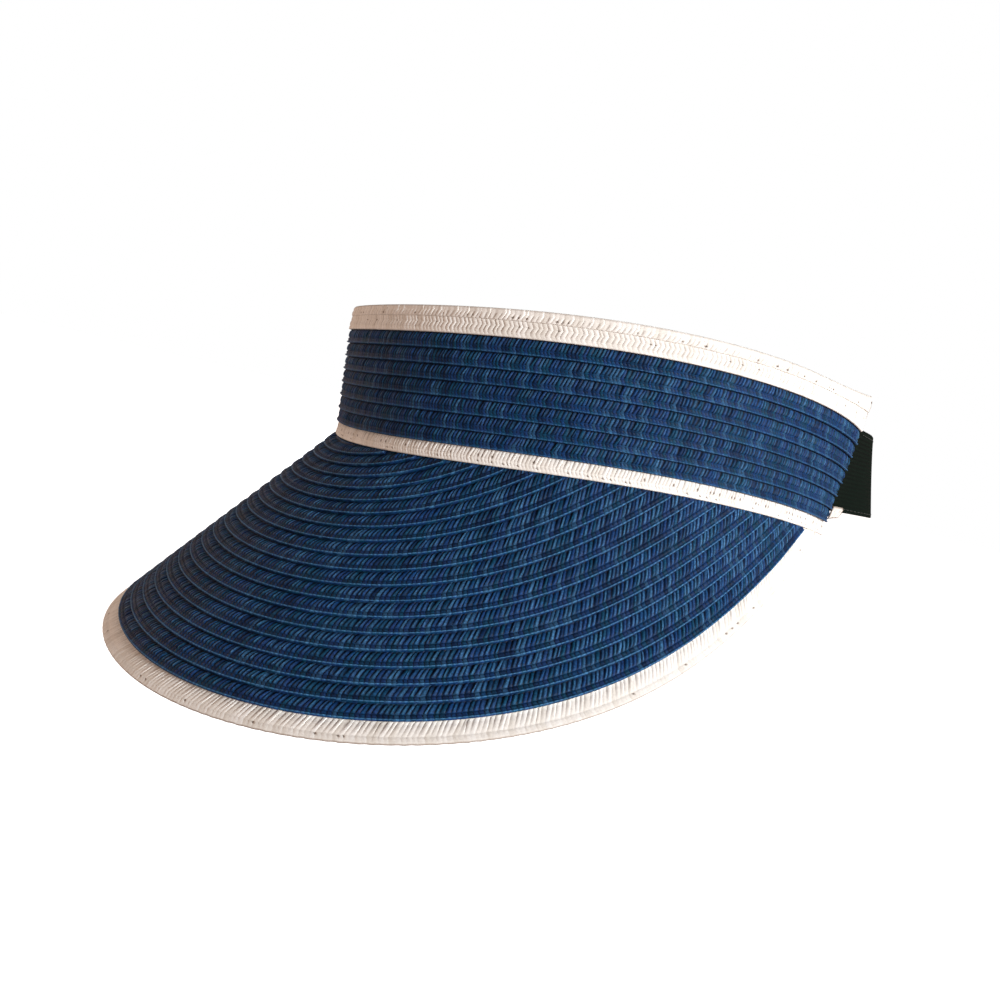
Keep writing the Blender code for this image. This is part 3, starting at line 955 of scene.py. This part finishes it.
def sweat_edge(edge, way):
    """The sweatband's folded edge and hem as (height, depth), from its outer face round."""
    hem_line = edge + way * HEM
    return [(edge + way * 0.0003, SWEAT_DEPTH), (edge, SWEAT_DEPTH + 0.0003), (edge, SWEAT_INSIDE - 0.0003),
            (edge + way * 0.0004, SWEAT_INSIDE), (hem_line - way * 0.0006, SWEAT_INSIDE),
            (hem_line, SWEAT_INSIDE - 0.0002), (hem_line + way * 0.0002, SWEAT_INSIDE - 0.00035)]


def add_sweatband():
    between = np.linspace(SWEAT_BOTTOM + HEM + 0.002, SWEAT_TOP - HEM - 0.002, 9)
    profile = sweat_edge(SWEAT_BOTTOM, 1) + [(height, SWEAT_INSIDE - 0.0003) for height in between]
    profile = np.array(profile + sweat_edge(SWEAT_TOP, -1)[::-1])
    lengths = np.linspace(-band_length / 2, band_length / 2, 520)
    u, v, depth = np.broadcast_arrays(lengths[:, None], profile[None, :, 0], profile[None, :, 1])
    sweat = skin("sweatband_cotton", sweat_place(u, v, depth), cotton, {"u": u, "v": v})
    keep(sweat, "visor", "sweatband_cloth", "sweatband")
    runs = []
    for height in (SWEAT_BOTTOM + HEM - 0.0016, SWEAT_TOP - HEM + 0.0016):
        runs += row_of_stitches(sweat_place, -band_length / 2 + 0.003, band_length / 2 - 0.003, height,
                                SWEAT_INSIDE, length=0.0024, pitch=0.0032, out_step=0.0005)
    sewn = stitches("sweatband_stitches", runs, 0.14 * MM, pale_thread)
    keep(sewn, "visor", "sweatband_cloth")


add_sweatband()


# ---- straps: u runs from the hinge, v from the lower edge, and offset out from the middle ----
PATCH_LOW = PATCH_INSET
PATCH_HIGH = STRAP_WIDTH - PATCH_INSET


def strap_maker(side, rise):
    """Length of a strap, its place(u, v, offset), and a function from angle to u."""
    angles = np.linspace(STRAP_START, STRAP_FINISH, STRAP_STEPS)
    middle = strap_points(side, angles, np.full(STRAP_STEPS, STRAP_LOW + STRAP_WIDTH / 2), rise, 0.0)
    along = distances(middle)
    length, angle_at = line_lookup(angles, middle)

    def place(u, v, offset):
        inside = eased(np.clip(-u / TAB_EASE, 0, 1))
        phi = np.where(u < 0, STRAP_START + u * PER_METRE_AT_END, angle_at(u - length / 2))
        offset = offset * (1 - TAB_PRESSED * inside) - TAB_SINK * inside
        return strap_points(side, phi, STRAP_LOW + v, rise, offset)

    return length, place, lambda angle: float(np.interp(angle, angles, along))


def strap_tape(name, place, length, side, half):
    """A ribbed tape with thinner edges, round free corners and a slight wave."""
    u = np.concatenate([np.arange(-TAB_LENGTH, length, RIB_STEP), [length]])
    inner_steps = np.linspace(SELVEDGE[3], STRAP_WIDTH - SELVEDGE[3], 8)
    v_steps = np.concatenate([SELVEDGE[:3], inner_steps, STRAP_WIDTH - SELVEDGE[2::-1]])
    relief = np.minimum(np.interp(v_steps, SELVEDGE, SELVEDGE_RELIEF),
                        np.interp(STRAP_WIDTH - v_steps, SELVEDGE, SELVEDGE_RELIEF))
    v_ring = np.concatenate([v_steps, v_steps[::-1]])
    face = np.concatenate([-relief, relief[::-1]]) * half
    rib = 1 + RIB_RELIEF * ((np.arange(len(u)) % 2) * 2 - 1)
    trimmed = np.sqrt(np.maximum(1 - np.clip((u - (length - CORNER)) / CORNER, 0, 1) ** 2, 0.0))
    inset = CORNER * (1 - trimmed)
    v_all = v_ring[None, :] + inset[:, None] * (1 - 2 * v_ring[None, :] / STRAP_WIDTH)
    u_all = np.broadcast_to(u[:, None], v_all.shape)
    points = place(u_all, v_all, face[None, :] * rib[:, None])
    points[..., 2] += STRAP_WAVE * np.sin(u * 70)[:, None] * np.clip(u / 0.03, 0, 1)[:, None]
    around = slice(None, None, side)
    return skin(name, points[:, around], tape, {"u": u_all[:, around], "v": v_all[:, around]})


def edge_fade(count):
    """Shares for a row of loops: the last two at each end are lower."""
    steps = np.arange(count)
    return np.clip(np.minimum(steps, steps[::-1]) / 2 + 0.4, 0, 1)


def loop_pile(place, u_from, u_to, near, facing):
    """Rings of points for a patch of loops with a flat back."""
    rows = np.arange(u_from, u_to, PILE_STEP)[:, None]
    columns = np.arange(PATCH_LOW, PATCH_HIGH + 1e-9, PILE_STEP)
    heights = random.uniform(0.45, 1.0, (len(rows), len(columns))) * PATCH_THICKNESS
    heights = heights * edge_fade(len(rows))[:, None] * edge_fade(len(columns))[None, :]
    sway = random.normal(0, PILE_SWAY, heights.shape)
    back = (len(rows), 2)
    u = np.concatenate([rows + sway, np.broadcast_to(rows, back)], axis=1)
    v = np.concatenate([np.broadcast_to(columns, heights.shape),
                        np.broadcast_to([PATCH_HIGH, PATCH_LOW], back)], axis=1)
    offset = np.concatenate([near + facing * heights, np.full(back, near)], axis=1)
    return place(u, v, offset)


def hook_plate(place, rows, near, facing):
    """Rings of points for the plate under the hooks."""
    v = np.array([PATCH_LOW, PATCH_LOW, PATCH_HIGH, PATCH_HIGH])
    offset = near + facing * np.array([0.0, PLATE_THICKNESS, PLATE_THICKNESS, 0.0])
    return place(*np.broadcast_arrays(rows[:, None], v[None, :], offset[None, :]))


def hook_block(place, u, v, way, near, facing):
    """Points of one hook, bent over along u."""
    us, vs, offsets = [], [], []
    for along, height, share, bent in HOOK_SPINE:
        size = HOOK_HALF_WIDTH * share
        for a, b in ((-1, -1), (1, -1), (1, 1), (-1, 1)):
            us.append(u + way * along * MM + (0 if bent else a * size))
            vs.append(v + b * size)
            above = PLATE_THICKNESS + height * MM
            offsets.append(near + facing * (above - a * size * way if bent else above))
    return place(np.array([us]), np.array([vs]), np.array([offsets]))[0]


def add_loop_patch(place, u_from, u_to, near, facing, way):
    rings = loop_pile(place, u_from, u_to, near, facing)
    keep(skin("loop_pile", rings[:, ::-way], black_pile), "loop_side", "loop_pile", "loop_patch")


def add_hook_patch(place, u_from, u_to, near, facing, way):
    rows = np.arange(u_from, u_to, PLATE_STEP)
    plate = skin("hook_plate", hook_plate(place, rows, near, facing)[:, ::way], hook_plastic)
    points = []
    faces = []
    for u in rows[1:-1]:
        for j, v in enumerate(np.arange(PATCH_LOW + 0.9 * MM, PATCH_HIGH - 0.6 * MM, HOOK_PITCH)):
            faces += tube_faces(len(points), len(HOOK_SPINE), 4)
            points.extend(hook_block(place, u, v, 1 if j % 2 else -1, near, facing))
    hooks = make_object("hook_hooks", points, faces, hook_plastic)
    keep(plate, "hook_side", "hook_tape", "hook_patch")
    keep(hooks, "hook_side", "hook_tape", "hook_patch")


def add_strap(kind, side, rise, facing, add_patch):
    """A strap on this side of the head, with its patch on its outer face where facing is 1."""
    length, place, u_at = strap_maker(side, rise)
    half = STRAP_THICKNESS / 2 - STRAP_SURFACE
    body = kind + "_side"
    strap = strap_tape(kind + "_strap_tape", place, length, side, half)
    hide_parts(kind + "_strap")
    before = one_point(place, -1.0 * MM, STRAP_WIDTH / 2, 0.0)
    after = one_point(place, 3.0 * MM, STRAP_WIDTH / 2, 0.0)
    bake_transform(strap)
    runs = []
    for outer in (-1, 1):
        for v in (1.5 * MM, STRAP_WIDTH - 1.5 * MM):
            runs += row_of_stitches(place, 0.006, length - 0.004, v, outer * half * 1.02,
                                    length=0.0019, pitch=0.0027, out_step=outer * 1e-4)
    sewn = stitches(kind + "_strap_stitches", runs, 0.13 * MM, black_thread)
    keep(sewn, body, "strap_cloth")

    u_from = u_at(math.pi - STRAP_OVERLAP / 2 + PATCH_END_INSET) + 0.5 * MM
    u_to = u_at(STRAP_FINISH - PATCH_END_INSET) - 0.5 * MM
    near = facing * (STRAP_THICKNESS / 2 + 0.06 * MM)
    add_patch(place, u_from, u_to, near, facing, side * facing)
    runs = []
    edge = facing * (STRAP_THICKNESS / 2 + 0.55 * PATCH_THICKNESS)
    for v in (PATCH_LOW + 0.7 * MM, PATCH_HIGH - 0.7 * MM):
        runs += row_of_stitches(place, u_from + 0.001, u_to - 0.002, v, edge,
                                length=0.0018, pitch=0.0026, out_step=facing * 1e-4)
    keep(stitches(kind + "_patch_stitches", runs, 0.13 * MM, black_thread), body, "strap_cloth")


add_strap("loop", 1, STRAP_BULGE, 1, add_loop_patch)
add_strap("hook", -1, STRAP_BULGE + PATCH_STACK, -1, add_hook_patch)


# ---- stage, light and camera ----
FLOOR_SIZE = 4.0
FLOOR_DROP = 0.030  # the photograph shows no shadow
FILL_COLOUR = (1.0, 0.75, 0.65, 1.0)
FILL_BELOW = 0.56  # the fill is weaker from above than from the sides
FILL_ABOVE = 0.25
LIGHTS_AIM = Vector((0.0, -0.03, 0.0))
LIGHTS_DISTANCE = 1.3
CAMERA_LENS = 29.26
CAMERA_AT = (0.28872, -0.15225, 0.02375)
CAMERA_RIGHT = Vector((0.34785, 0.90739, 0.23588))
CAMERA_UP = Vector((-0.19031, -0.17802, 0.96545))
CAMERA_BACK = Vector((0.91803, -0.38072, 0.11076))


def add_floor():
    """A white floor that the camera sees and the visor doesn't."""
    z = CAD_BOX[0][2] - FLOOR_DROP
    corners = [(x * FLOOR_SIZE, y * FLOOR_SIZE, z) for x, y in ((-1, -1), (1, -1), (1, 1), (-1, 1))]
    mesh = bpy.data.meshes.new("floor")
    mesh.from_pydata(corners, [], [(0, 1, 2, 3)])
    material, _, _, shader = new_material("floor_white", (0.92, 0.92, 0.92), 0.9, 0.1)
    shader.inputs["Emission Color"].default_value = (1.0, 1.0, 1.0, 1.0)
    shader.inputs["Emission Strength"].default_value = 1.0
    mesh.materials.append(material)
    floor = add_object("floor", mesh)
    floor.visible_diffuse = False
    floor.visible_glossy = False
    floor.visible_shadow = False


def add_world():
    """White to the camera, and a warm fill to the visor."""
    world = bpy.data.worlds.new("studio")
    bpy.context.scene.world = world
    world.use_nodes = True
    nodes = world.node_tree.nodes
    links = world.node_tree.links
    nodes.clear()
    seen = nodes.new("ShaderNodeBackground")
    seen.inputs["Color"].default_value = (1.0, 1.0, 1.0, 1.0)
    fill = nodes.new("ShaderNodeBackground")
    fill.inputs["Color"].default_value = FILL_COLOUR
    direction = nodes.new("ShaderNodeTexCoord")
    split = nodes.new("ShaderNodeSeparateXYZ")
    links.new(direction.outputs["Generated"], split.inputs[0])
    fading = nodes.new("ShaderNodeMapRange")
    links.new(split.outputs["Z"], fading.inputs["Value"])
    fading.inputs["To Min"].default_value = FILL_BELOW
    fading.inputs["To Max"].default_value = FILL_ABOVE
    links.new(fading.outputs["Result"], fill.inputs["Strength"])
    path = nodes.new("ShaderNodeLightPath")
    either = nodes.new("ShaderNodeMixShader")
    output = nodes.new("ShaderNodeOutputWorld")
    links.new(path.outputs["Is Camera Ray"], either.inputs[0])
    links.new(fill.outputs[0], either.inputs[1])
    links.new(seen.outputs[0], either.inputs[2])
    links.new(either.outputs[0], output.inputs["Surface"])


def area_light(name, azimuth, elevation, size, power, colour):
    """A soft light aimed at the visor, placed by angles like those of the views."""
    lamp = bpy.data.lights.new(name, "AREA")
    lamp.shape = "DISK"
    lamp.size = size
    lamp.energy = power
    lamp.color = colour
    a = math.radians(azimuth)
    e = math.radians(elevation)
    back = Vector((math.sin(a) * math.cos(e), -math.cos(a) * math.cos(e), math.sin(e)))
    holder = add_object(name, lamp)
    holder.location = LIGHTS_AIM + back * LIGHTS_DISTANCE
    holder.rotation_euler = back.to_track_quat("Z", "Y").to_euler()


def add_camera():
    """The photograph's viewpoint."""
    camera_data = bpy.data.cameras.new("camera")
    camera_data.sensor_width = 36.0
    camera_data.lens = CAMERA_LENS
    camera_data.clip_start = 0.01
    camera_data.clip_end = 50.0
    camera = add_object("camera", camera_data)
    bpy.context.scene.camera = camera
    facing = Matrix((CAMERA_RIGHT, CAMERA_UP, CAMERA_BACK)).transposed().to_4x4()
    camera.matrix_world = Matrix.Translation(CAMERA_AT) @ facing


add_floor()
add_world()
area_light("key", 113, 13, size=0.32, power=18.8, colour=(0.96, 1.0, 1.05))
area_light("top", 60, 72, size=0.8, power=0.8, colour=(1.0, 0.98, 0.95))
area_light("front", 318, 12, size=0.7, power=2.6, colour=(1.0, 0.66, 0.44))
area_light("back", 250, 5, size=0.6, power=9, colour=(0.90, 0.97, 1.0))
add_camera()
bpy.context.scene.view_settings.view_transform = "Standard"
